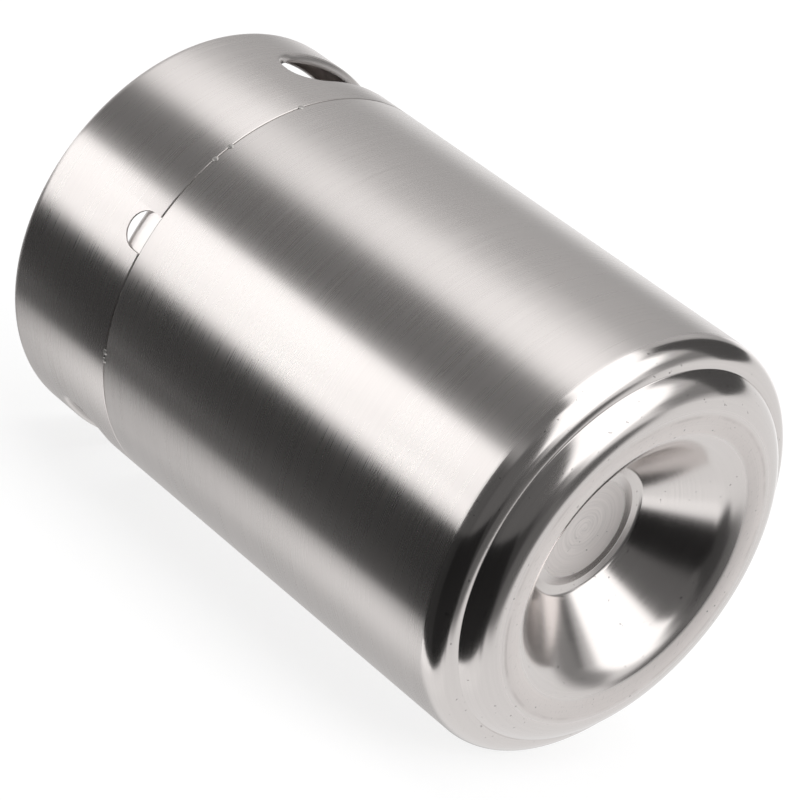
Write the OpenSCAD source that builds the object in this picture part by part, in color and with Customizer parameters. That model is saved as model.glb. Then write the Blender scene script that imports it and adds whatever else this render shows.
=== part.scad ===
// Five-litre stainless mini keg: a drawn vessel with a pressed foot, a dished head with a
// threaded neck and screw cap, and a collar with two hand holes and two drain notches.
// Millimetres, keg upright, origin at the centre of the foot, hand holes on the X axis.

/* [Vessel] */
// Outside diameter of the body
body_d = 180; // [168:1:196]
// Sheet thickness of the body, base and head
sheet_t = 0.8; // [0.6:0.1:1.2]
// Height of the seam between the body and the collar
seam_z = 209.5; // [180:0.5:240]
// Width of the groove left open at that seam
seam_gap = 0.6; // [0.4:0.1:1]
// Depth of that groove down to its weld
seam_depth = 0.4; // [0.2:0.05:0.6]
// Clearance between pieces that fit inside each other
fit_gap = 0.05; // [0.02:0.01:0.1]

/* [Base] */
// Height of the seam between the body and the base
base_seam_z = 22; // [20:0.5:40]
// Outside radius of the shoulder bend
shoulder_r = 10.2; // [8:0.2:11]
// Height at which the shoulder starts to turn in
shoulder_z = 18.8; // [18:0.2:20]
// Radius of the crease where the shoulder runs into the foot
crease_r = 0.6; // [0.4:0.1:1.2]
// Distance from the body's side in to the middle of the ring that the keg stands on
foot_inset = 24.7; // [22:0.1:27]
// Width of the flat of that ring
foot_w = 1.6; // [1.2:0.1:4]
// Outside radius of the foot's outer side, which swells out below the crease
foot_r = 16.2; // [14:0.2:18]
// Radius of the foot's inner bend into the hollow, whose wall runs straight up from it
lip_r = 22.6; // [18:0.2:26]
// Height of the flat disc at the top of the hollow
disc_z = 29.5; // [26:0.5:33]
// Diameter of that disc
disc_d = 49.2; // [43:0.2:55]
// Width of the narrow land round the disc
land_w = 2.4; // [1.5:0.1:5]
// Slope of that land
land_angle = 12; // [8:1:16]
// Radius of the bends beside it
land_r = 3; // [2:0.25:4]

/* [Head] */
// Length of the head's flange below the seam
flange_below = 9; // [6:0.5:14]
// Height of the seam up to the knuckle bend
flange_above = 4.6; // [3:0.2:7]
// Outside radius of the knuckle
knuckle_r = 9; // [7:0.25:11]
// Radius of the head's crown
crown_r = 260; // [220:5:320]

/* [Collar] */
// Height of the collar from the seam to the top of the rim
collar_h = 63.5; // [56:0.1:75]
// Sheet thickness of the collar
collar_t = 0.8; // [0.6:0.1:1.2]
// Outside radius of the rolled rim
rim_r = 5.0; // [4.5:0.1:6]
// How far round the rim is rolled
rim_curl = 205; // [180:5:225]
// Width of a hand hole
hole_w = 83; // [76:1:90]
// Height of a hand hole's lower edge above the seam
hole_rise = 15.5; // [14:0.5:19]
// Clear height of a hand hole
hole_h = 24.3; // [22:0.1:25]
// Outside radius of the fold along a hand hole's upper edge
fold_r = 2.7; // [2:0.1:3.2]
// Width of that folded lip
fold_w = 3.5; // [3.3:0.1:6]
// Width of a drain notch
notch_w = 16.7; // [14:0.1:20]
// Height of a drain notch
notch_h = 12.4; // [11:0.1:14]
// Length and width of a tack weld
tack_w = 2.5; // [1.5:0.1:3]
// How far a tack weld stands out
tack_out = 0.3; // [0.15:0.05:0.35]

/* [Neck and cap] */
// Outside diameter of the neck over its thread
neck_d = 48; // [44:0.5:50]
// Bore of the neck
bore_d = 43; // [38:0.5:43.5]
// Height of the neck above the head
neck_h = 16; // [14:0.25:18]
// Length of the neck below the head
neck_below = 4; // [2:0.5:8]
// Width of the neck's seating flange
seat_w = 3; // [2:0.25:4]
// Thickness of that flange
seat_t = 2.5; // [2:0.1:3]
// Leg length of the weld round the neck
neck_weld_leg = 2.4; // [1.6:0.1:3]
// Outside diameter of the cap
cap_d = 58; // [56:0.5:62]
// Wall thickness of the cap's shell
cap_t = 1.5; // [1:0.1:1.8]
// Radius of the cap's upper edge
cap_edge_r = 2.5; // [2:0.1:3.5]
// Number of grip flutes round the cap
flutes = 24; // [12:1:36]
// Depth of a grip flute
flute_depth = 0.6; // [0.3:0.05:0.8]
// Radius of a grip flute
flute_r = 2.2; // [1.5:0.1:2.8]
// Plain height left between the flutes and the cap's upper edge
flute_end = 1; // [0.5:0.25:3]
// Running clearance of the cap's thread on the neck
thread_gap = 0.3; // [0.25:0.05:0.5]
// Thickness of the cap's inner plate
plate_t = 2; // [1.5:0.1:3]
// Thickness of the gasket
gasket_t = 2; // [1.5:0.1:2.5]
// How far the gasket reaches in past the bore
gasket_reach = 2; // [1:0.25:4]
// Clear height under the cap's skirt
skirt_gap = 2; // [1:0.25:3]

/* [Hidden] */
$fn = 96;
bend_steps = 9;
crown_steps = 16;
cut_over = 1;

body_r = body_d / 2;
seam_low = seam_z - seam_gap / 2;
seam_high = seam_z + seam_gap / 2;
weld_r = body_r - seam_depth;

foot_out = body_r - foot_inset + foot_w / 2;
foot_in = foot_out - foot_w;
shoulder_at = [body_r - shoulder_r, shoulder_z];
foot_at = [foot_out, foot_r];
crease_at = meeting(shoulder_at, shoulder_r + crease_r, foot_at, foot_r + crease_r);
shoulder_turn = bearing(shoulder_at, crease_at);
crease_turn = bearing(crease_at, foot_at);

disc_r = disc_d / 2;
lip_at = [foot_in, lip_r];
turn_at = [disc_r, disc_z - land_r] + land_w * [1, -tan(land_angle)];
punt_angle = 180 + asin((lip_r + land_r) / norm(turn_at - lip_at)) - bearing(lip_at, turn_at);

flange_r = body_r - max(sheet_t, collar_t) - fit_gap;
flange_low = seam_z - flange_below;
knuckle_z = seam_z + flange_above;
knuckle_x = flange_r - knuckle_r;
crown_z = knuckle_z - sqrt(pow(crown_r - knuckle_r, 2) - pow(knuckle_x, 2));
knuckle_turn = acos(knuckle_x / (crown_r - knuckle_r));

keg_h = seam_z + collar_h;
hole_z = seam_z + hole_rise;

neck_r = neck_d / 2;
bore_r = bore_d / 2;
seat_r = neck_r + seat_w;
seat_z = crown_height(neck_r);
neck_top = seat_z + neck_h;

fold_z = hole_z + hole_h + fold_r;
fold_lap = 0.5;
fold_inset = 1;
fold_skin = 0.05;
hole_end_r = (fold_z + fold_lap - hole_z) / 2;
hole_side = hole_w / 2 - hole_end_r;
fold_half = asin((hole_side - fold_inset) / body_r);
tack_angles = [-37.5, -59.9, -65, -123, -125.4, 35, 61, 66.5, 118, 145];
tack_turn = 2 * asin(tack_w / body_d);

cap_r = cap_d / 2;
plate_low = neck_top + gasket_t;
cap_top = plate_low + plate_t + cap_t;
skirt_z = seat_z + seat_t + skirt_gap;
insert_r = cap_r - cap_t - fit_gap;
thread_r = neck_r + thread_gap;
gasket_inset = 0.2;

// Lower meeting point of two circles given by centre and radius, the first one further out
function meeting(a, a_r, b, b_r) = let(
    gap = norm(b - a),
    along = (gap * gap + a_r * a_r - b_r * b_r) / (2 * gap),
    aside = sqrt(a_r * a_r - along * along),
    u = (b - a) / gap)
    a + along * u + aside * [-u[1], u[0]];
function bearing(from, to) = atan2(to[1] - from[1], to[0] - from[0]);

// Height of the head's outer surface at a radius
function crown_height(r) = crown_z + sqrt(crown_r * crown_r - r * r);

// A sheet's section is a chain of bends: centre radius, centre height, outside radius, first
// angle, last angle, and 1 where the bend's centre lies on the inner side of the sheet or -1
// where it lies outside. A corner is a bend of no radius whose two angles are equal.
function bend_line(b, t, steps) = b[3] == b[4]
    ? [bend_point(b, t, b[3])]
    : [for (i = [0 : steps]) bend_point(b, t, b[3] + (b[4] - b[3]) * i / steps)];
function bend_point(b, t, a) = [b[0] + (b[2] - b[5] * t) * cos(a), b[1] + (b[2] - b[5] * t) * sin(a)];
function sheet_line(bends, t, steps) = [for (b = bends) each bend_line(b, t, steps)];
function backwards(v) = [for (i = [len(v) - 1 : -1 : 0]) v[i]];

// Section of a sheet of thickness t along a chain of bends
module sheet_section(bends, t, steps = bend_steps) {
    polygon(concat(sheet_line(bends, 0, steps), backwards(sheet_line(bends, t, steps))));
}

module ring(r_out, r_in, z_low, z_high) {
    translate([0, 0, z_low]) difference() {
        cylinder(r = r_out, h = z_high - z_low);
        translate([0, 0, -cut_over]) cylinder(r = r_in, h = z_high - z_low + 2 * cut_over);
    }
}

module body_shell() {
    color("silver") ring(body_r, body_r - sheet_t, base_seam_z, seam_low);
}

module base_pan() {
    bends = [
        [body_r, base_seam_z, 0, 0, 0, 1],
        [shoulder_at[0], shoulder_at[1], shoulder_r, 0, shoulder_turn, 1],
        [crease_at[0], crease_at[1], crease_r, shoulder_turn + 180, crease_turn, -1],
        [foot_at[0], foot_at[1], foot_r, crease_turn - 180, -90, 1],
        [lip_at[0], lip_at[1], lip_r, -90, -90 - punt_angle, 1],
        [turn_at[0], turn_at[1], land_r, 90 - punt_angle, 90 - land_angle, -1],
        [disc_r, disc_z - land_r, land_r, 90 - land_angle, 90, -1],
        [0, disc_z, 0, 90, 90, -1]
    ];
    color("gainsboro") rotate_extrude() sheet_section(bends, sheet_t);
}

// The root bead of the polished seam between the body and the base, inside the vessel
module base_weld() {
    bead_h = 3;
    bead_t = 0.7;
    wall = body_r - sheet_t;
    color("darkgray") rotate_extrude() polygon([
        [wall, base_seam_z - bead_h / 2],
        [wall, base_seam_z + bead_h / 2],
        [wall - bead_t, base_seam_z + bead_h / 6],
        [wall - bead_t, base_seam_z - bead_h / 6]
    ]);
}

module top_head() {
    bends = [
        [flange_r, flange_low, 0, 0, 0, 1],
        [knuckle_x, knuckle_z, knuckle_r, 0, knuckle_turn, 1],
        [0, crown_z, crown_r, knuckle_turn, acos((neck_r - cut_over) / crown_r), 1]
    ];
    color("lightgray") difference() {
        rotate_extrude() sheet_section(bends, sheet_t, crown_steps);
        cylinder(r = neck_r + fit_gap, h = keg_h);
    }
}

module head_weld() {
    color("darkgray") ring(weld_r, flange_r, seam_low, seam_high);
}

// Outline of a hand hole, cut to just above its fold line, seen along the X axis
module hole_outline() {
    translate([0, hole_z + hole_end_r]) {
        square([2 * hole_side, 2 * hole_end_r], center = true);
        for (side = [-1, 1]) translate([side * hole_side, 0]) circle(r = hole_end_r);
    }
}

// Outline of a drain notch, seen along the Y axis
module notch_outline() {
    arch = seam_z + notch_h - notch_w / 2;
    translate([0, arch]) circle(d = notch_w);
    translate([-notch_w / 2, seam_z - cut_over]) square([notch_w, arch - seam_z + cut_over]);
}

// The hand hole's upper edge, folded inward round the collar's curve. Its wall laps up inside the
// collar's by a hair, so that the two are one sheet.
module folded_lip() {
    lip_x = body_r - fold_skin;
    bends = [
        [lip_x, fold_z + 4 * fold_lap, 0, 0, 0, 1],
        [lip_x - fold_r, fold_z, fold_r, 0, -90, 1],
        [lip_x - fold_w, fold_z - fold_r, 0, -90, -90, 1]
    ];
    rotate([0, 0, -fold_half]) rotate_extrude(angle = 2 * fold_half) sheet_section(bends, collar_t);
}

module collar() {
    bends = [
        [body_r, seam_high, 0, 0, 0, 1],
        [body_r - rim_r, keg_h - rim_r, rim_r, 0, rim_curl, 1]
    ];
    color("silver") {
        difference() {
            rotate_extrude() sheet_section(bends, collar_t, crown_steps);
            for (side = [0, 180]) rotate([0, 0, side]) {
                translate([body_r / 2, 0, 0]) rotate([90, 0, 90])
                    linear_extrude(height = body_r) hole_outline();
                rotate([90, 0, 0]) linear_extrude(height = body_r + cut_over) notch_outline();
            }
        }
        for (side = [0, 180]) rotate([0, 0, side]) folded_lip();
    }
}

// Tack welds that lie in the seam's groove and stand a little out of it
module collar_tacks() {
    edge = tack_w / 2;
    section = [
        [weld_r, seam_low],
        [body_r, seam_low],
        [body_r, seam_z - edge],
        [body_r + tack_out, seam_z - edge / 2],
        [body_r + tack_out, seam_z + edge / 2],
        [body_r, seam_z + edge],
        [body_r, seam_high],
        [weld_r, seam_high]
    ];
    color("darkgray") for (angle = tack_angles)
        rotate([0, 0, angle - tack_turn / 2]) rotate_extrude(angle = tack_turn) polygon(section);
}

module neck() {
    color("silver") difference() {
        union() {
            translate([0, 0, seat_z - neck_below]) cylinder(r = neck_r, h = neck_h + neck_below);
            translate([0, 0, seat_z]) cylinder(r = seat_r, h = seat_t);
        }
        translate([0, 0, seat_z - neck_below - cut_over])
            cylinder(r = bore_r, h = neck_h + neck_below + 2 * cut_over);
    }
}

module neck_weld() {
    toe_r = seat_r + neck_weld_leg;
    clear = 0.02;
    color("darkgray") rotate_extrude() polygon([
        [seat_r, crown_height(seat_r) + clear],
        [toe_r, crown_height(toe_r) + clear],
        [seat_r + neck_weld_leg / 3, crown_height(seat_r) + neck_weld_leg / 2],
        [seat_r, crown_height(seat_r) + neck_weld_leg]
    ]);
}

module cap_shell() {
    bends = [
        [cap_r, skirt_z, 0, 0, 0, 1],
        [cap_r - cap_edge_r, cap_top - cap_edge_r, cap_edge_r, 0, 90, 1],
        [0, cap_top, 0, 90, 90, 1]
    ];
    color("silver") difference() {
        rotate_extrude() sheet_section(bends, cap_t);
        for (i = [0 : flutes - 1]) rotate([0, 0, 360 * i / flutes])
            translate([cap_r + flute_r - flute_depth, 0, skirt_z - cut_over])
                cylinder(r = flute_r, h = cap_top - cap_edge_r - flute_end - skirt_z + cut_over);
    }
}

module cap_insert() {
    bends = [
        [insert_r, skirt_z, 0, 0, 0, 1],
        [insert_r - cap_edge_r + cap_t, cap_top - cap_edge_r - fit_gap, cap_edge_r - cap_t, 0, 90, 1],
        [0, cap_top - cap_t - fit_gap, 0, 90, 90, 1]
    ];
    color("white") difference() {
        rotate_extrude() polygon(concat(sheet_line(bends, 0, bend_steps), [[0, skirt_z]]));
        translate([0, 0, skirt_z - cut_over]) cylinder(r = thread_r, h = plate_low - skirt_z + cut_over);
    }
}

module cap_gasket() {
    color("whitesmoke") ring(neck_r - gasket_inset, bore_r - gasket_reach, neck_top, plate_low);
}

body_shell();
base_pan();
base_weld();
top_head();
head_weld();
collar();
collar_tacks();
neck();
neck_weld();
cap_shell();
cap_insert();
cap_gasket();
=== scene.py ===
"""Looks of the mini keg: brushed and polished steel sheets, welds, a threaded neck and its screw cap,
in a white studio, seen from below its foot as it lies on its side."""

from math import acos, asin, atan2, cos, hypot, pi, radians, sin, sqrt, tan

import bpy
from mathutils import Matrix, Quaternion, Vector


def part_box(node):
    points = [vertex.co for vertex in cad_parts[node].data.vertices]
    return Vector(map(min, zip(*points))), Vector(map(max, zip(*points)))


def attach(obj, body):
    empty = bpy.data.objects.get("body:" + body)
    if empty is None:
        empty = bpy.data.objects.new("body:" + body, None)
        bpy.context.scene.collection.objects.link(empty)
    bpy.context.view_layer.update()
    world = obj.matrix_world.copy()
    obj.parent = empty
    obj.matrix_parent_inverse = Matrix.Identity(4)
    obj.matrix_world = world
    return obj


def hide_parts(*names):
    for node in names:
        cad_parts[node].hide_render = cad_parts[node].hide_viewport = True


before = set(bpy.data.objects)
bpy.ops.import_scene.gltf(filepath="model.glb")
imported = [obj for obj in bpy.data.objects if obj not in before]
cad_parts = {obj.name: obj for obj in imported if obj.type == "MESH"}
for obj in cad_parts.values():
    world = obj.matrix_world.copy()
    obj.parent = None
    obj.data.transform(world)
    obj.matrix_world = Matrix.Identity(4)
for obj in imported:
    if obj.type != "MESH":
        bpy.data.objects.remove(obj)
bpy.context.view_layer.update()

MM = 0.001

# Body and base, in millimetres
BODY_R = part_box("body_shell")[1].x / MM
SHEET = 0.8
BASE_SEAM_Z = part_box("body_shell")[0].z / MM
SEAM_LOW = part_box("body_shell")[1].z / MM
SEAM_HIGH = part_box("collar")[0].z / MM
SEAM_MID, SEAM_DEPTH = (SEAM_LOW + SEAM_HIGH) / 2, 0.4
EDGE_R, COLLAR_EDGE_R = 0.2, 0.38
SHOULDER_R, SHOULDER_Z = 10.2, 18.8
BRUSH_END_Z = 17.6
CREASE_R = 0.6
FOOT_INSET, FOOT_W, FOOT_R = 24.7, 1.6, 16.2
FOOT_MID = BODY_R - FOOT_INSET
LIP_R = 22.6
DISC_Z, DISC_R = 29.5, 24.6
LAND_W, LAND_SLOPE, LAND_R = 2.4, radians(12), 3.0

# Radii between which the finish of the base changes
DISC_ENDS, FOOT_STARTS = (21.6, 20.4), (56.5, 58.5)
FOOT_ENDS, SHOULDER_STARTS = (69.0, 65.0), (66.5, 69.0)

# Head, under the collar
FLANGE_BELOW, FLANGE_ABOVE = 9.0, 4.6
KNUCKLE_R, CROWN_R = 9.0, 260.0
FIT_GAP = 0.05
FLANGE_R = BODY_R - SHEET - FIT_GAP
KNUCKLE_AT = (FLANGE_R - KNUCKLE_R, SEAM_MID + FLANGE_ABOVE)
CROWN_Z = KNUCKLE_AT[1] - sqrt((CROWN_R - KNUCKLE_R) ** 2 - KNUCKLE_AT[0] ** 2)

# Collar's rim, hand holes and drain notches
KEG_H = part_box("collar")[1].z / MM
RIM_R, RIM_CURL = 5.0, radians(205)
HOLE_W, HOLE_Z, HOLE_H = 83.0, 225.0, 24.3
FOLD_R, FOLD_W, FOLD_FLAT = 2.7, 3.5, 0.3
NOTCH_W, NOTCH_H = 16.7, 12.4
TACKS = (-37.5, -59.9, -65, -123, -125.4, 35, 61, 66.5, 118, 145)
TACK_W, TACK_OUT = 2.5, 0.28
TIP_STEPS, CUT_REACH = 32, 2.0

# Girth weld in its groove, root bead inside the base's seam, and fillet under the neck
GROOVE_EDGE_R = 0.1
ROOT_HALF, ROOT_OUT, ROOT_R, ROOT_TURN = 1.5, 1.2, 1.9, 0.88
NECK_WELD_LEG, NECK_WELD_GAP = 2.4, 0.02
NECK_WELD_BENDS = ((1.7, 0.75), (0.8, 1.65))

# Neck, cap and thread
NECK_R, BORE_R, NECK_BELOW = 24.0, 21.5, 4.0
NECK_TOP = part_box("neck")[1].z / MM
SEAT_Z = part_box("neck")[0].z / MM + NECK_BELOW
SEAT_R, SEAT_T, NECK_EDGE_R = 27.0, 2.5, 0.5
PITCH, THREAD_DEPTH, CREST_W, ROOT_W = 4.0, 1.1, 0.9, 1.9
THREAD_GAP, THREAD_SINK, THREAD_STEPS, RUN_OUT = 0.3, 0.15, 96, 0.22
NECK_THREAD_LOW, NECK_THREAD_TOP = SEAT_Z + SEAT_T + 1.6, NECK_TOP - 1.2
CAP_R, CAP_T, CAP_EDGE_R = 29.0, 1.5, 2.5
CAP_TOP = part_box("cap_shell")[1].z / MM
SKIRT_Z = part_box("cap_shell")[0].z / MM
PLATE_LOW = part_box("cap_gasket")[1].z / MM
CORE_THREAD_LOW, CORE_THREAD_TOP, CORE_EDGE_R = SKIRT_Z + 1.4, PLATE_LOW - 2.4, 0.6
FLUTES, FLUTE_DEPTH, FLUTE_R, FLUTE_END, FLUTE_FADE = 24, 0.6, 2.2, 1.0, 1.0
GASKET_OUT, GASKET_IN, GASKET_EDGE_R = 23.8, 19.5, 0.4

LATHE_STEPS = 288
COLLAR_STEPS = 720
FLUTE_STEPS = 20
BEND_STEPS = 24

# Colours of the finishes, and the limits between which a colour is darkened or lightened
STEEL, WELD_STEEL = (0.714, 0.677, 0.66), (0.6, 0.58, 0.56)
WHITE_PLASTIC, SILICONE = (0.83, 0.83, 0.8), (0.8, 0.81, 0.8)
TINTS = (0.65, 1.35)

# Camera: below the foot, turned so that the keg lies as in the photo
VIEW_AZIMUTH, VIEW_ELEVATION, VIEW_ROLL = radians(-81.987), radians(-35.428), radians(52.377)
VIEW_DISTANCE = 1.25148
VIEW_AIM = Vector((-0.00375, -0.00053, 0.13234))
SENSOR, LENS = 36, 143.55

# Table and floor: the keg lies on the side that faces this way, with planes 5 m wide
LYING_AZIMUTH = radians(163.8)
FLOOR_SIZE, FLOOR_GAP = 5, 0.1
FLOOR_SHADE, FLOOR_GLOW = 0.3, 0.8


class Wire:
    """A value in a shader, on which Python's operators add Math nodes."""

    def __init__(self, shader, socket):
        self.shader, self.socket = shader, socket

    def __add__(self, other):
        return self.shader.math("ADD", self, other)

    def __sub__(self, other):
        return self.shader.math("SUBTRACT", self, other)

    def __rsub__(self, other):
        return self.shader.math("SUBTRACT", other, self)

    def __mul__(self, other):
        return self.shader.math("MULTIPLY", self, other)

    def __truediv__(self, other):
        return self.shader.math("DIVIDE", self, other)

    __radd__ = __add__
    __rmul__ = __mul__


class Shader:
    """A node tree that is written as expressions."""

    def __init__(self, tree):
        self.tree = tree

    def node(self, kind, settings, inputs, output=0):
        """Adds a node, with its settings first and then the values or wires of its sockets."""
        made = self.tree.nodes.new(kind)
        for name, value in settings.items():
            setattr(made, name, value)
        for name, value in inputs.items():
            if isinstance(value, Wire):
                self.tree.links.new(value.socket, made.inputs[name])
            else:
                made.inputs[name].default_value = value
        return Wire(self, made.outputs[output])

    def math(self, operation, *values):
        return self.node("ShaderNodeMath", {"operation": operation}, dict(enumerate(values)))

    def clamp(self, value):
        return self.node("ShaderNodeClamp", {}, {0: value})

    def step(self, value, first, last):
        """A soft change from 0 at the first value to 1 at the last, which may be the lower one."""
        soft = {"interpolation_type": "SMOOTHSTEP"}
        return self.node("ShaderNodeMapRange", soft, {0: value, 1: first, 2: last})

    def noise(self, vector, detail=2.0, roughness=0.5):
        inputs = {"Vector": vector, "Scale": 1.0, "Detail": detail, "Roughness": roughness}
        return self.node("ShaderNodeTexNoise", {}, inputs)

    def mix(self, factor, a, b):
        """A colour between two."""
        return self.node("ShaderNodeMix", {"data_type": "RGBA"}, {0: factor, 6: a, 7: b}, 2)

    def vector(self, x, y, z):
        return self.node("ShaderNodeCombineXYZ", {}, {0: x, 1: y, 2: z})

    def bump(self, height, strength, depth):
        """A normal from a height, with its depth in millimetres."""
        inputs = {"Height": height, "Strength": strength, "Distance": depth * MM}
        return self.node("ShaderNodeBump", {}, inputs)


class Place:
    """Where a point of a piece lies: x, y, z and radius in millimetres, and azimuth in radians."""

    def __init__(self, shader):
        coordinates = shader.node("ShaderNodeTexCoord", {}, {}, 3)
        scaled = shader.node("ShaderNodeVectorMath", {"operation": "SCALE"}, {0: coordinates, 3: 1 / MM})
        self.x, self.y, self.z = (
            shader.node("ShaderNodeSeparateXYZ", {}, {0: scaled}, i) for i in range(3)
        )
        self.r = shader.math("SQRT", self.x * self.x + self.y * self.y)
        self.azimuth = shader.math("ARCTAN2", self.y, self.x)


def new_material(name):
    material = bpy.data.materials.new(name)
    material.use_nodes = True
    return material, Shader(material.node_tree)


def finish(name, look, colour, **constants):
    """A steel, or a plastic where Metallic is 0. The look gives the values that change over the
    surface, by socket name, and the constants are the same all over."""
    material, shader = new_material(name)
    tree = material.node_tree
    surface = tree.nodes["Principled BSDF"]
    surface.inputs["Base Color"].default_value = (*colour, 1)
    surface.inputs["Metallic"].default_value = 1.0
    for socket, value in constants.items():
        surface.inputs[socket.replace("_", " ")].default_value = value
    for socket, value in look(shader, Place(shader), colour).items():
        tree.links.new(value.socket, surface.inputs[socket])
    return material


def tinted(shader, colour, factor):
    """The colour times a factor that changes over the surface, kept between two limits."""
    dark, light = (tuple(k * c for c in colour) + (1,) for k in TINTS)
    return shader.mix(shader.clamp((factor - TINTS[0]) / (TINTS[1] - TINTS[0])), dark, light)


def brushed_look(shader, place, colour):
    """Fine lines that run round the keg, as the belt left them, and a painted shade that darkens the steel
    inside the wall below the rim, in the hand holes' folded lips.
    """
    fine = shader.noise(shader.vector(place.x * 0.03, place.y * 0.03, place.z * 2.6), 3.0, 0.6)
    coarse = shader.noise(shader.vector(place.x * 0.008, place.y * 0.008, place.z * 0.55), 2.0)
    stain = shader.noise(shader.vector(place.x * 0.02, place.y * 0.02, place.z * 0.02), 2.0)
    lines = fine * 0.7 + coarse * 0.3
    shaded_below_rim = shader.step(place.z, KEG_H - 9.0, KEG_H - 13.0)
    inside = shader.step(place.r, BODY_R - 0.6, BODY_R - 1.8) * shaded_below_rim
    # Inside the wall, below the rim, the tone drops by 0.3: painted shade in the folded lips and on the inner
    # face.
    tone = 1.0 + (lines - 0.5) * 0.2 + (stain - 0.5) * 0.08 - inside * 0.3
    return {
        "Base Color": tinted(shader, colour, tone),
        "Roughness": 0.28 + (lines - 0.5) * 0.10 + (stain - 0.5) * 0.05,
        "Normal": shader.bump(lines, 0.16, 0.02),
    }


def pressed_look(shader, place, colour):
    """The pressed base: polished shoulder and hollow with faint lines round the axis, a foot scuffed
    pale, with the worn line that it stands on, and a satin disc with the lathe's swirl."""
    ring = shader.noise(shader.vector(place.r * 1.6, place.z * 1.6, place.azimuth * 0.35), 3.0, 0.6)
    cloud = shader.noise(shader.vector(place.x * 0.06, place.y * 0.06, place.z * 0.06), 3.0)
    shoulder = shader.step(place.r, *SHOULDER_STARTS)
    foot = shader.step(place.r, *FOOT_STARTS) * shader.step(place.r, *FOOT_ENDS)
    disc = shader.step(place.r, *DISC_ENDS)
    spiral = shader.vector(place.r * 0.9 + place.azimuth * 0.3, place.azimuth * 0.4, 0.0)
    swirl = (shader.noise(spiral, 3.0, 0.6) - 0.5) * shader.step(place.r, 18.0, 3.0)
    off_foot = shader.math("ABSOLUTE", place.r - FOOT_MID)
    worn = shader.step(off_foot, 0.9, 0.2) * shader.step(cloud, 0.4, 0.6)
    scuff = shader.noise(shader.vector(place.x * 0.35, place.y * 1.9, place.z), 4.0, 0.7)
    scuff = shader.step(scuff, 0.6, 0.66) * foot
    pit = shader.noise(shader.vector(place.x * 0.5, place.y * 0.5, place.z * 0.5), 1.0)
    pit = shader.step(pit, 0.74, 0.77)
    lines = (ring - 0.5) * (0.12 + disc * 0.24)
    marks = worn * 0.1 + scuff * 0.2 + pit * 0.5
    rubbed = foot * (0.4 + (cloud - 0.5) * 0.1)
    return {
        "Base Color": tinted(shader, colour, 1.0 + lines + swirl * 0.9 + foot * 0.27 + disc * 0.28 - marks),
        "Roughness": 0.19 + (ring - 0.5) * 0.08 - shoulder * 0.03 + rubbed + disc * 0.26 + worn * 0.05,
        "Normal": shader.bump(ring + scuff * 0.3, 0.14, 0.02),
    }


def satin_look(shader, place, colour):
    """Even, fine grain that runs round the axis, as on spun and turned steel."""
    grain = shader.noise(shader.vector(place.r * 2.2, place.z * 2.2, place.azimuth * 1.5), 3.0, 0.6)
    return {
        "Base Color": tinted(shader, colour, 1.0 + (grain - 0.5) * 0.12),
        "Roughness": 0.32 + (grain - 0.5) * 0.12,
        "Normal": shader.bump(grain, 0.2, 0.02),
    }


def weld_look(shader, place, colour):
    """Grainy steel that was melted, with a painted shade that darkens it down in the groove between body and
    collar.
    """
    # Painted shade: the mask covers the weld where it lies sunk in the groove, below the outer face.
    groove = shader.step(place.r, BODY_R - 2.0, BODY_R - 1.5)
    groove = groove * shader.step(place.r, BODY_R - 0.1, BODY_R - 0.3)
    grain = shader.noise(shader.vector(place.x * 1.3, place.y * 1.3, place.z * 1.3), 4.0, 0.6)
    return {
        "Base Color": tinted(shader, colour, 0.95 + (grain - 0.5) * 0.4 - groove * 0.3),
        "Roughness": 0.38 + (grain - 0.5) * 0.25,
        "Normal": shader.bump(grain, 0.4, 0.05),
    }


def plastic_look(shader, place, colour):
    """Moulded plastic or silicone, with a very faint grain."""
    grain = shader.noise(shader.vector(place.x * 4, place.y * 4, place.z * 4), 3.0)
    return {
        "Base Color": tinted(shader, colour, 1.0 + (grain - 0.5) * 0.04),
        "Roughness": 0.42 + (grain - 0.5) * 0.15,
        "Normal": shader.bump(grain, 0.1, 0.02),
    }


brushed_steel = finish("brushed_steel", brushed_look, STEEL, Anisotropic=0.9, Anisotropic_Rotation=0.25)
polished_steel = finish("polished_steel", pressed_look, STEEL)
satin_steel = finish("satin_steel", satin_look, STEEL)
machined_steel = finish("machined_steel", satin_look, STEEL)
weld_steel = finish("weld_steel", weld_look, WELD_STEEL)
white_plastic = finish("white_plastic", plastic_look, WHITE_PLASTIC, Metallic=0.0)
silicone = finish("silicone", plastic_look, SILICONE, Metallic=0.0)


def begin(name):
    """Names the piece just added."""
    piece = bpy.context.object
    piece.name = piece.data.name = name
    return piece


def edit(mode):
    """Starts edit mode on the active piece, with everything selected."""
    bpy.ops.object.mode_set(mode="EDIT")
    bpy.ops.mesh.select_mode(type=mode)
    bpy.ops.mesh.select_all(action="SELECT")


def pick(piece):
    """Makes the piece the only one selected, and the active one."""
    bpy.ops.object.select_all(action="DESELECT")
    piece.select_set(True)
    bpy.context.view_layer.objects.active = piece


def arc(centre, radius, first, last, steps=BEND_STEPS):
    """Points of a circle from its first angle to its last."""
    return [
        (centre[0] + radius * cos(first + (last - first) * i / steps),
         centre[1] + radius * sin(first + (last - first) * i / steps))
        for i in range(steps + 1)
    ]


def rounded(points, corners, radius, steps=4):
    """A closed outline with some of its right-angled corners rounded."""
    out = []
    for i, (x, y) in enumerate(points):
        if i not in corners:
            out.append((x, y))
            continue
        here = Vector((x, y))
        before = (Vector(points[i - 1]) - here).normalized() * radius
        after = (Vector(points[(i + 1) % len(points)]) - here).normalized() * radius
        for k in range(steps + 1):
            turn = pi / 2 * k / steps
            out.append(tuple(here + before * (1 - sin(turn)) + after * (1 - cos(turn))))
    return out


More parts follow.
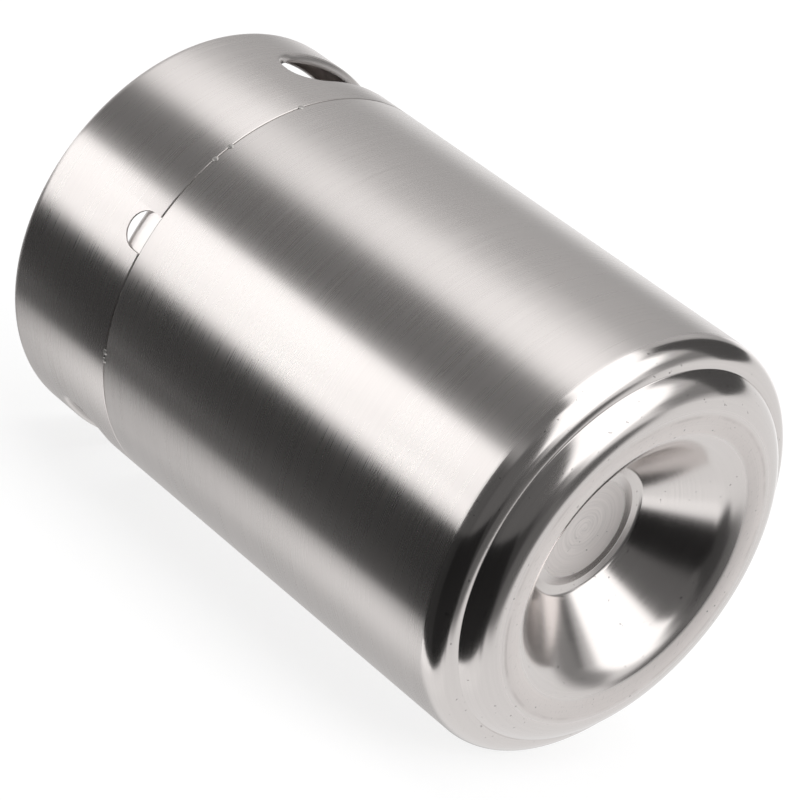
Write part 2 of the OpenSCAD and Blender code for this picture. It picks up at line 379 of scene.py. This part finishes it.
def sheet(bends, thickness=SHEET, first_edge=True, last_edge=True, edge_r=EDGE_R):
    """Closed section of a sheet along a chain of bends: centre, outside radius, first angle, last
    angle, and -1 where the bend's centre lies outside the sheet. Its free edges are rounded."""
    outer, inner = [], []
    for centre, radius, first, last, inside in bends:
        for skin, side in ((0, outer), (thickness, inner)):
            r = radius - inside * skin
            if abs(last - first) > 1e-9:
                side += arc(centre, r, first, last)
            else:
                side.append((centre[0] + r * cos(first), centre[1] + r * sin(first)))
    end = len(outer) - 1
    corners = first_edge * (0, 2 * end + 1) + last_edge * (end, end + 1)
    return rounded(outer + inner[::-1], corners, edge_r)


def spun(name, section, steps=LATHE_STEPS):
    """A closed section in millimetres, drawn point by point and spun round the Z axis."""
    bpy.ops.object.select_all(action="DESELECT")
    bpy.ops.mesh.primitive_plane_add(size=MM, location=(section[0][0] * MM, 0, section[0][1] * MM))
    piece = begin(name)
    bpy.ops.object.transform_apply(location=True)
    edit("VERT")
    bpy.ops.mesh.merge(type="CENTER")
    for (r0, z0), (r1, z1) in zip(section, section[1:] + section[:1]):
        move = ((r1 - r0) * MM, 0, (z1 - z0) * MM)
        bpy.ops.mesh.extrude_region_move(TRANSFORM_OT_translate={"value": move})
    bpy.ops.mesh.select_all(action="SELECT")
    bpy.ops.mesh.remove_doubles(threshold=MM * 1e-4)
    bpy.ops.mesh.spin(steps=steps, angle=2 * pi, center=(0, 0, 0), axis=(0, 0, 1))
    bpy.ops.mesh.select_all(action="SELECT")
    bpy.ops.mesh.remove_doubles(threshold=MM * 1e-3)
    bpy.ops.mesh.normals_make_consistent(inside=False)
    bpy.ops.object.mode_set(mode="OBJECT")
    return piece


def reshaped(piece, rule):
    """Moves each vertex by a rule on its radius and height in millimetres and its azimuth."""
    for v in piece.data.vertices:
        r, a, z = rule(hypot(v.co.x, v.co.y) / MM, atan2(v.co.y, v.co.x), v.co.z / MM)
        v.co = Vector((r * cos(a), r * sin(a), z)) * MM
    return piece


def lofted(name, rows):
    """A closed solid through rows of points, each row a closed loop, with its two ends capped."""
    n = len(rows[0])
    faces = [
        (i * n + k, i * n + (k + 1) % n, (i + 1) * n + (k + 1) % n, (i + 1) * n + k)
        for i in range(len(rows) - 1) for k in range(n)
    ]
    faces += [tuple(range(n)), tuple(range((len(rows) - 1) * n, len(rows) * n))]
    mesh = bpy.data.meshes.new(name)
    mesh.from_pydata([Vector(p) * MM for row in rows for p in row], [], faces)
    piece = bpy.data.objects.new(name, mesh)
    bpy.context.scene.collection.objects.link(piece)
    pick(piece)
    edit("VERT")
    bpy.ops.mesh.normals_make_consistent(inside=False)
    bpy.ops.object.mode_set(mode="OBJECT")
    return piece


def prism(outline, low, high):
    """A cutter: an outline in the YZ plane, pushed out along X."""
    return lofted("cutter", [[(x, y, z) for y, z in outline] for x in (low, high)])


def turned(piece, angle):
    """Turns the piece round the Z axis, by minus the angle because there is no window."""
    pick(piece)
    bpy.ops.transform.rotate(value=-angle, orient_axis="Z", center_override=(0, 0, 0))
    bpy.ops.object.transform_apply(location=True, rotation=True)
    return piece


def joined(name, *pieces):
    """Makes one piece of several."""
    pick(pieces[0])
    for piece in pieces[1:]:
        piece.select_set(True)
    bpy.ops.object.join()
    return begin(name)


def cut(piece, cutter):
    """Takes the cutter's shape out of the piece."""
    pick(piece)
    modifier = piece.modifiers.new("cut", "BOOLEAN")
    modifier.object, modifier.solver = cutter, "EXACT"
    bpy.ops.object.modifier_apply(modifier=modifier.name)
    bpy.data.objects.remove(cutter)


def fitted(piece, body, node, material, angle=35):
    """Finishes the piece and puts it on its body in place of its CAD node."""
    pick(piece)
    bpy.ops.object.shade_smooth_by_angle(angle=radians(angle))
    piece.data.materials.append(material)
    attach(piece, body)
    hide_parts(node)
    return piece


def bearing(a, b):
    """The direction from one point of a section to another."""
    return atan2(b[1] - a[1], b[0] - a[0])


def make_body():
    """The drawn body tube, open at both ends."""
    inner_r = BODY_R - SHEET
    wall = [(BODY_R, BASE_SEAM_Z), (BODY_R, SEAM_LOW), (inner_r, SEAM_LOW), (inner_r, BASE_SEAM_Z)]
    section = rounded(wall, (1, 2), EDGE_R)
    fitted(spun("body_tube", section), "keg", "body_shell", brushed_steel)


def make_base():
    """The base, pressed from one sheet in bends that touch each other. It is polished, except for
    its wall, which is brushed with the body."""
    foot_out = BODY_R - FOOT_INSET + FOOT_W / 2
    shoulder_at, foot_at = Vector((BODY_R - SHOULDER_R, SHOULDER_Z)), Vector((foot_out, FOOT_R))
    lip_at = Vector((foot_out - FOOT_W, LIP_R))
    disc_at = Vector((DISC_R, DISC_Z - LAND_R))
    turn_at = disc_at + LAND_W * Vector((1, -tan(LAND_SLOPE)))
    # The crease's circle touches the shoulder and the foot
    gap = (foot_at - shoulder_at).length
    to_shoulder, to_foot = SHOULDER_R + CREASE_R, FOOT_R + CREASE_R
    along = (gap * gap + to_shoulder ** 2 - to_foot ** 2) / (2 * gap)
    line = (foot_at - shoulder_at) / gap
    crease_at = shoulder_at + along * line + sqrt(to_shoulder ** 2 - along ** 2) * Vector((-line.y, line.x))
    shoulder_turn, crease_turn = bearing(shoulder_at, crease_at), bearing(crease_at, foot_at)
    brush_turn = -asin((SHOULDER_Z - BRUSH_END_Z) / SHOULDER_R)
    # The hollow's wall touches the lip and the bend under the land
    wall = pi + asin((LIP_R + LAND_R) / (turn_at - lip_at).length) - bearing(lip_at, turn_at)
    section = sheet([
        ((BODY_R, BASE_SEAM_Z), 0, 0, 0, 1),
        (shoulder_at, SHOULDER_R, 0, brush_turn, 1),
        (shoulder_at, SHOULDER_R, brush_turn, shoulder_turn, 1),
        (crease_at, CREASE_R, shoulder_turn + pi, crease_turn, -1),
        (foot_at, FOOT_R, crease_turn - pi, -pi / 2, 1),
        (lip_at, LIP_R, -pi / 2, -pi / 2 - wall, 1),
        (turn_at, LAND_R, pi / 2 - wall, pi / 2 - LAND_SLOPE, -1),
        (disc_at, LAND_R, pi / 2 - LAND_SLOPE, pi / 2, -1),
        ((0, DISC_Z), 0, pi / 2, pi / 2, -1),
    ], first_edge=False, last_edge=False)
    piece = fitted(spun("pressed_base", section), "keg", "base_pan", polished_steel)
    piece.data.materials.append(brushed_steel)
    for face in piece.data.polygons:
        x, y, z = face.center / MM
        face.material_index = int(z > BRUSH_END_Z and hypot(x, y) > BODY_R - 2 * SHEET)


def hole_path(steps=48):
    """Upper half of a hand hole's opening, from its left tip to its right: y, z, the way out of the
    hole, and how far the fold has grown, from 0 at the tips to 1."""
    end_r = HOLE_H / 2
    side, middle = HOLE_W / 2 - end_r, HOLE_Z + HOLE_H / 2
    path = [(-side - end_r * cos(a), middle + end_r * sin(a), -cos(a), sin(a)) for a in
            (pi / 2 * i / steps for i in range(steps + 1))]
    path += [(-side + 2 * side * i / (2 * steps), middle + end_r, 0.0, 1.0) for i in range(1, 2 * steps)]
    path += [(side + end_r * sin(a), middle + end_r * cos(a), sin(a), cos(a)) for a in
             (pi / 2 * i / steps for i in range(steps + 1))]
    grown = []
    for y, z, ny, nz in path:
        t = min(1.0, (z - middle) / end_r)
        grown.append((y, z, ny, nz, t * t * (3 - 2 * t)))
    return grown


def on_collar(y, z, depth):
    """A point at a depth under the collar's outer face, above the place y, z of its front view."""
    a = asin(y / BODY_R)
    return (BODY_R - depth) * cos(a), (BODY_R - depth) * sin(a), z


def folded_lip():
    """The upper edge of a hand hole, folded inward, which fades out into the hole's round ends."""
    rows = []
    for y, z, ny, nz, t in hole_path():
        r = FOLD_R * t
        flat = (FOLD_W - FOLD_R) * t
        outer, inner = [(r + FOLD_FLAT, 0.0)], [(r + FOLD_FLAT, SHEET)]
        for i in range(BEND_STEPS + 1):
            a = pi / 2 * i / BEND_STEPS
            outer.append((r - r * sin(a), r - r * cos(a)))
            inner.append((r - (r - SHEET) * sin(a), r - (r - SHEET) * cos(a)))
        end = r + flat
        lip = rounded(
            outer + [(0.0, end), (SHEET, end)] + inner[::-1],
            (len(outer), len(outer) + 1), min(EDGE_R, 0.45 * flat + 1e-4),
        )
        rows.append([on_collar(y + ny * out, z + nz * out, depth) for out, depth in lip])
    return lofted("lip", rows)


def make_collar():
    """The collar with its curled rim, two hand holes with folded lips and two drain notches."""
    wall = sheet([
        ((BODY_R, SEAM_HIGH), 0, 0, 0, 1),
        ((BODY_R - RIM_R, KEG_H - RIM_R), RIM_R, 0, RIM_CURL, 1),
    ], edge_r=COLLAR_EDGE_R)
    piece = spun("collar_ring", wall, COLLAR_STEPS)
    end_r, side, middle = HOLE_H / 2, HOLE_W / 2 - HOLE_H / 2, HOLE_Z + HOLE_H / 2
    upper = [
        (y + ny * (FOLD_R * t + FOLD_FLAT), z + nz * (FOLD_R * t + FOLD_FLAT))
        for y, z, ny, nz, t in hole_path()
    ]
    lower = arc((side, middle), end_r, 0, -pi / 2, TIP_STEPS)[1:]
    lower += arc((-side, middle), end_r, -pi / 2, -pi, TIP_STEPS)[:-1]
    arch, below = (0, SEAM_MID + NOTCH_H - NOTCH_W / 2), SEAM_HIGH - CUT_REACH
    notch = arc(arch, NOTCH_W / 2, 0, pi, 2 * BEND_STEPS) + [(-NOTCH_W / 2, below), (NOTCH_W / 2, below)]
    reach = (BODY_R / 2, BODY_R + CUT_REACH)
    cutters = [turned(prism(upper + lower, *reach), a) for a in (0, pi)]
    cutters += [turned(prism(notch, *reach), a) for a in (pi / 2, -pi / 2)]
    cut(piece, joined("cutters", *cutters))
    lips = [turned(folded_lip(), a) for a in (0, pi)]
    fitted(joined("collar_ring", piece, *lips), "keg", "collar", brushed_steel)


def make_welds():
    """The girth weld that fills the groove between body and collar, and the root bead of the
    base's seam, inside."""
    out_r = BODY_R - SEAM_DEPTH
    filled = [(out_r, SEAM_LOW), (out_r, SEAM_HIGH), (FLANGE_R, SEAM_HIGH), (FLANGE_R, SEAM_LOW)]
    groove = rounded(filled, (0, 1), GROOVE_EDGE_R)
    fitted(spun("girth_weld", groove, COLLAR_STEPS), "keg", "head_weld", weld_steel)
    wall = BODY_R - SHEET
    crown = arc((wall + ROOT_OUT, BASE_SEAM_Z), ROOT_R, pi + ROOT_TURN, pi - ROOT_TURN, 12)
    root = [(wall, BASE_SEAM_Z - ROOT_HALF)] + crown + [(wall, BASE_SEAM_Z + ROOT_HALF)]
    fitted(spun("base_root_weld", root, COLLAR_STEPS), "keg", "base_weld", weld_steel)


def make_head():
    """The dished head, with its flange inside the seam and a hole for the neck."""
    turn = acos(KNUCKLE_AT[0] / (CROWN_R - KNUCKLE_R))
    section = sheet([
        ((FLANGE_R, SEAM_MID - FLANGE_BELOW), 0, 0, 0, 1),
        (KNUCKLE_AT, KNUCKLE_R, 0, turn, 1),
        ((0, CROWN_Z), CROWN_R, turn, acos((NECK_R + FIT_GAP) / CROWN_R), 1),
    ])
    fitted(spun("dished_head", section), "keg", "top_head", satin_steel)


def helix(name, root_r, depth, low, high, start=0.0):
    """A thread's ridge: a trapezium that climbs round the axis and runs out at both ends. A
    negative depth points it inward."""
    count = int((high - low) / PITCH * THREAD_STEPS)
    rows = []
    sink = -THREAD_SINK if depth > 0 else THREAD_SINK
    for i in range(count + 1):
        a = 2 * pi * i / THREAD_STEPS
        end = min(1.0, min(i, count - i) / (THREAD_STEPS * RUN_OUT))
        grow = end * depth + (1 - end) * sink * 0.5
        z = low + PITCH * i / THREAD_STEPS
        rows.append([
            (r * cos(a + start), r * sin(a + start), z + dz) for r, dz in (
                (root_r + sink, -ROOT_W / 2), (root_r + grow, -CREST_W / 2),
                (root_r + grow, CREST_W / 2), (root_r + sink, ROOT_W / 2))
        ])
    return lofted(name, rows)


def make_neck():
    """The neck with its bore, seat and outside thread, and the fillet weld under it."""
    root_r = NECK_R - THREAD_DEPTH
    low, seat_top = SEAT_Z - NECK_BELOW, SEAT_Z + SEAT_T
    section = [
        (NECK_R, low), (NECK_R, SEAT_Z), (SEAT_R, SEAT_Z), (SEAT_R, seat_top),
        (root_r, seat_top), (root_r, NECK_TOP), (BORE_R, NECK_TOP), (BORE_R, low),
    ]
    tube = spun("threaded_neck", rounded(section, (3, 5, 6), NECK_EDGE_R))
    thread = helix("thread", root_r, THREAD_DEPTH, NECK_THREAD_LOW, NECK_THREAD_TOP)
    fitted(joined("threaded_neck", tube, thread), "keg", "neck", machined_steel)
    toe = SEAT_R + NECK_WELD_LEG
    foot_z, toe_z = (CROWN_Z + sqrt(CROWN_R ** 2 - r * r) + NECK_WELD_GAP for r in (SEAT_R, toe))
    bead = [(SEAT_R, foot_z), (toe, toe_z)]
    bead += [(SEAT_R + out, foot_z + up) for out, up in NECK_WELD_BENDS + ((0, NECK_WELD_LEG),)]
    fitted(spun("neck_fillet_weld", bead, COLLAR_STEPS), "keg", "neck_weld", weld_steel)


def make_cap():
    """The cap's fluted steel cover, its plastic core with the inside thread, and the sealing ring."""
    edge_at = (CAP_R - CAP_EDGE_R, CAP_TOP - CAP_EDGE_R)
    flute_top = edge_at[1] - FLUTE_END
    section = sheet([
        ((CAP_R, SKIRT_Z), 0, 0, 0, 1),
        ((CAP_R, flute_top - FLUTE_FADE), 0, 0, 0, 1),
        ((CAP_R, flute_top), 0, 0, 0, 1),
        (edge_at, CAP_EDGE_R, 0, pi / 2, 1),
        ((0, CAP_TOP), 0, pi / 2, pi / 2, 1),
    ], CAP_T, last_edge=False)
    shell = spun("cap_cover", section, FLUTES * FLUTE_STEPS)

    def fluted(r, a, z):
        if r < CAP_R - 0.5 * CAP_T or z > flute_top - 0.01:
            return r, a, z
        off = ((a * FLUTES / (2 * pi) + 0.5) % 1.0 - 0.5) * 2 * pi / FLUTES
        across = CAP_R * sin(off)
        deep = CAP_R + FLUTE_R - FLUTE_DEPTH - sqrt(max(0.0, FLUTE_R ** 2 - across ** 2))
        return min(r, deep) if abs(across) < FLUTE_R else r, a, z

    fitted(reshaped(shell, fluted), "cap", "cap_shell", machined_steel)

    outer_r, bore_r = CAP_R - CAP_T - FIT_GAP, NECK_R + THREAD_GAP
    core_top = CAP_TOP - CAP_T - FIT_GAP
    core = [
        (outer_r, SKIRT_Z), (outer_r, core_top), (0, core_top),
        (0, PLATE_LOW), (bore_r, PLATE_LOW), (bore_r, SKIRT_Z),
    ]
    body = spun("cap_core", rounded(core, (0, 1, 5), CORE_EDGE_R))
    thread = helix("core_thread", bore_r, -THREAD_DEPTH, CORE_THREAD_LOW, CORE_THREAD_TOP, start=pi)
    fitted(joined("cap_core", body, thread), "cap", "cap_insert", white_plastic)

    ring = [(GASKET_OUT, NECK_TOP), (GASKET_OUT, PLATE_LOW), (GASKET_IN, PLATE_LOW), (GASKET_IN, NECK_TOP)]
    seal = spun("sealing_ring", rounded(ring, range(4), GASKET_EDGE_R))
    fitted(seal, "gasket", "cap_gasket", silicone)


def make_tacks():
    """The small tack welds along the seam, each a flat dot on the groove."""
    dots = []
    for angle in TACKS:
        bpy.ops.object.select_all(action="DESELECT")
        bpy.ops.mesh.primitive_uv_sphere_add(segments=24, ring_count=16, radius=1)
        dot = begin("tack")
        dot.scale = Vector((TACK_OUT, TACK_W / 2, TACK_W / 2)) * MM
        dot.location = (BODY_R * MM, 0, SEAM_MID * MM)
        bpy.ops.object.transform_apply(location=True, scale=True)
        dots.append(turned(dot, radians(angle)))
    fitted(joined("tack_welds", *dots), "keg", "collar_tacks", weld_steel)


def patch(shader, azimuth, elevation, centre, half, low, high, soft, lean=0.0):
    """Mask of a soft-edged panel round the keg, in degrees: its middle and half width in azimuth,
    its lower and upper edges, how soft they are, and how far it leans with the height."""
    off = shader.math("ABSOLUTE", shader.math("WRAP", azimuth - centre - elevation * lean, 180.0, -180.0))
    across = shader.step(off, half + soft / 2, half - soft / 2)
    above = shader.step(elevation, low - soft / 2, low + soft / 2)
    below = shader.step(elevation, high + soft / 2, high - soft / 2)
    return across * above * below


# Brightness of the studio's bare walls
BARE_WALL = 0.45

# The studio round the keg, painted over the bare walls in this order: centre and half width in
# azimuth from the camera, lower and upper edge, softness, lean, and brightness
STUDIO = (
    ("lower half", 0, 181, -91, -24, 10, 0, 0.13),
    ("straight below", 0, 181, -91, -80, 14, 0, 0.1),
    ("right wall", 126, 30, -46, -14, 12, 0, 0.55),
    ("white table", 201, 59, -52, 91, 8, 0, 0.87),
    ("table beside the card", -102, 16, -45, 91, 8, 0.2, 0.93),
    ("table's edge by the card", -97, 8, -45, 39, 5, 0, 1.15),
    ("dark floor by the card", -82, 38, -84, -42, 8, 0, 0.05),
    ("table's far part", 166, 20, 15, 91, 20, 0, 1.2),
    ("fold in the backdrop", -150, 32, 22, 60, 22, 0, 0.5),
    ("glow under the right lamp", 104, 36, -80, -50, 14, 0, 0.9),
    ("gap between the lamps", 30, 18, -30, 91, 13, 0, 0.17),
    ("right lamp's faint side", 92, 30, 12, 52, 16, 0, 0.54),
    ("right lamp's upper edge", 62.5, 14.5, 12, 56, 16, 0, 1.1),
    ("right lamp", 61.5, 20.5, -27, 20, 7, 0, 1.65),
    ("right lamp's lower part", 61, 29, -76, -20, 8, 0, 1.65),
    ("right lamp's lower corner", 68, 16, -75, -22, 8, -0.55, 1.65),
    ("dark strip", 124, 11, -50, 12, 8, 0, 0.25),
    ("wall under the left lamp", -18.5, 23.5, -30, 24, 12, 0, 0.1),
    ("left lamp", -18.5, 23.5, 22, 91, 8, 0, 2.4),
    ("left lamp's bright side", -29.5, 7, 22, 91, 5, 0, 3.1),
    ("left lamp's upper half", -18.5, 23.5, 40, 91, 5, 0, 1.5),
    ("grey wall over the table", 116, 30, 30, 46, 8, -5, 0.22),
    ("grey wall over the card", -104, 18, 41, 91, 4, 0, 0.2),
    ("black card", -60.2, 24.5, -30, 91, 4, 0, 0.05),
    ("black card's slanted side", -61.4, 4, 30, 91, 6, -0.7, 0.12),
    ("black card's foot", -60, 18, -58, -12, 8, 0, 0.014),
)


def make_world():
    """The studio that the steel reflects. The camera and what is seen through the keg get white."""
    world = bpy.data.worlds.new("studio")
    bpy.context.scene.world = world
    world.use_nodes = True
    tree = world.node_tree
    shader = Shader(tree)
    way = shader.node("ShaderNodeTexCoord", {}, {}, 0)
    x, y, z = (shader.node("ShaderNodeSeparateXYZ", {}, {0: way}, i) for i in range(3))
    azimuth = shader.math("ARCTAN2", y, x) * (180 / pi) - VIEW_AZIMUTH * 180 / pi
    elevation = shader.math("ARCSINE", z) * (180 / pi)
    light = BARE_WALL
    for _, centre, half, low, high, soft, lean, brightness in STUDIO:
        mask = patch(shader, azimuth, elevation, centre, half, low, high, soft, lean)
        light = light + mask * (brightness - light)
    rays = [shader.node("ShaderNodeLightPath", {}, {}, f"Is {ray} Ray") for ray in ("Camera", "Transmission")]
    seen = shader.math("MAXIMUM", *rays)
    light = light + seen * (1.0 - light)
    tree.links.new(light.socket, tree.nodes["Background"].inputs["Color"])


# Dark cards that stand close to the keg and show only in its steel, as painted reflections of the shade
# beside it: two lower and two upper corners in millimetres, with x towards the camera, and brightness
CARDS = (
    ("foot_card", ((171, -88, -280), (-40, -200, -280), (171, -88, 0), (29, -163, 0)), 0.014),
    ("foot_card_top", ((171, -88, 0), (29, -163, 0), (171, -88, 75), (80, -136, 75)), 0.03),
    ("right_card", ((71, 288, -25), (-148, 204, -125), (71, 288, 38), (-148, 204, 60)), 0.08),
)


def shown(material, surface):
    """Links a surface to the material's output."""
    output = material.node_tree.nodes["Material Output"]
    material.node_tree.links.new(surface.socket, output.inputs["Surface"])
    return material


def make_cards():
    """The near dark cards, which only reflections see: painted reflections of shade in the steel."""
    for name, corners, brightness in CARDS:
        bpy.ops.object.select_all(action="DESELECT")
        bpy.ops.mesh.primitive_plane_add(size=1)
        card = begin(name)
        for vertex, corner in zip(card.data.vertices, corners):
            vertex.co = Vector(corner) * MM
        turned(card, VIEW_AZIMUTH)
        material, shader = new_material(name)
        # Each card glows faintly, though it is no lamp, to paint a dark reflection of shade.
        surface = shader.node("ShaderNodeEmission", {}, {"Color": 3 * (brightness,) + (1,)})
        card.data.materials.append(shown(material, surface))
        card.visible_camera = card.visible_diffuse = False
        card.visible_transmission = card.visible_shadow = False


def make_floors():
    """The table that the keg lies on in the picture, and the floor that it stands on, white from
    above and unseen from below, with the keg's soft shadow."""
    side = Vector((cos(LYING_AZIMUTH), sin(LYING_AZIMUTH), 0)) * (BODY_R + FLOOR_GAP)
    planes = (
        ("table", side * MM, (0, pi / 2, LYING_AZIMUTH + pi)),
        ("floor", Vector((0, 0, -FLOOR_GAP)) * MM, (0, 0, 0)),
    )
    for name, place, tilt in planes:
        bpy.ops.object.select_all(action="DESELECT")
        bpy.ops.mesh.primitive_plane_add(size=FLOOR_SIZE, location=place, rotation=tilt)
        plane = begin(name)
        bpy.ops.object.transform_apply(location=True, rotation=True)
        material, shader = new_material(name)
        pale = shader.node("ShaderNodeBsdfDiffuse", {}, {"Color": 3 * (FLOOR_SHADE,) + (1,)})
        glow = shader.node("ShaderNodeEmission", {}, {"Color": (1, 1, 1, 1), "Strength": FLOOR_GLOW})
        white = shader.node("ShaderNodeAddShader", {}, {0: pale, 1: glow})
        unseen = shader.node("ShaderNodeBsdfTransparent", {}, {})
        back = shader.node("ShaderNodeNewGeometry", {}, {}, "Backfacing")
        surface = shader.node("ShaderNodeMixShader", {}, {0: back, 1: white, 2: unseen})
        plane.data.materials.append(shown(material, surface))
        plane.visible_diffuse = plane.visible_glossy = False
        plane.visible_transmission = plane.visible_shadow = False


def make_camera():
    """The camera, at the photo's distance, angle and roll."""
    data = bpy.data.cameras.new("camera")
    camera = bpy.data.objects.new("camera", data)
    bpy.context.scene.collection.objects.link(camera)
    level = cos(VIEW_ELEVATION)
    way = Vector((cos(VIEW_AZIMUTH) * level, sin(VIEW_AZIMUTH) * level, sin(VIEW_ELEVATION)))
    camera.location = VIEW_AIM + way * VIEW_DISTANCE
    roll = Quaternion((0, 0, 1), -VIEW_ROLL)
    camera.rotation_euler = ((-way).to_track_quat("-Z", "Y") @ roll).to_euler()
    data.sensor_width, data.lens = SENSOR, LENS
    bpy.context.scene.camera = camera


make_camera()
make_world()
make_cards()
make_floors()
make_body()
make_base()
make_head()
make_collar()
make_welds()
make_tacks()
make_neck()
make_cap()
bpy.context.scene.view_settings.view_transform = "Standard"
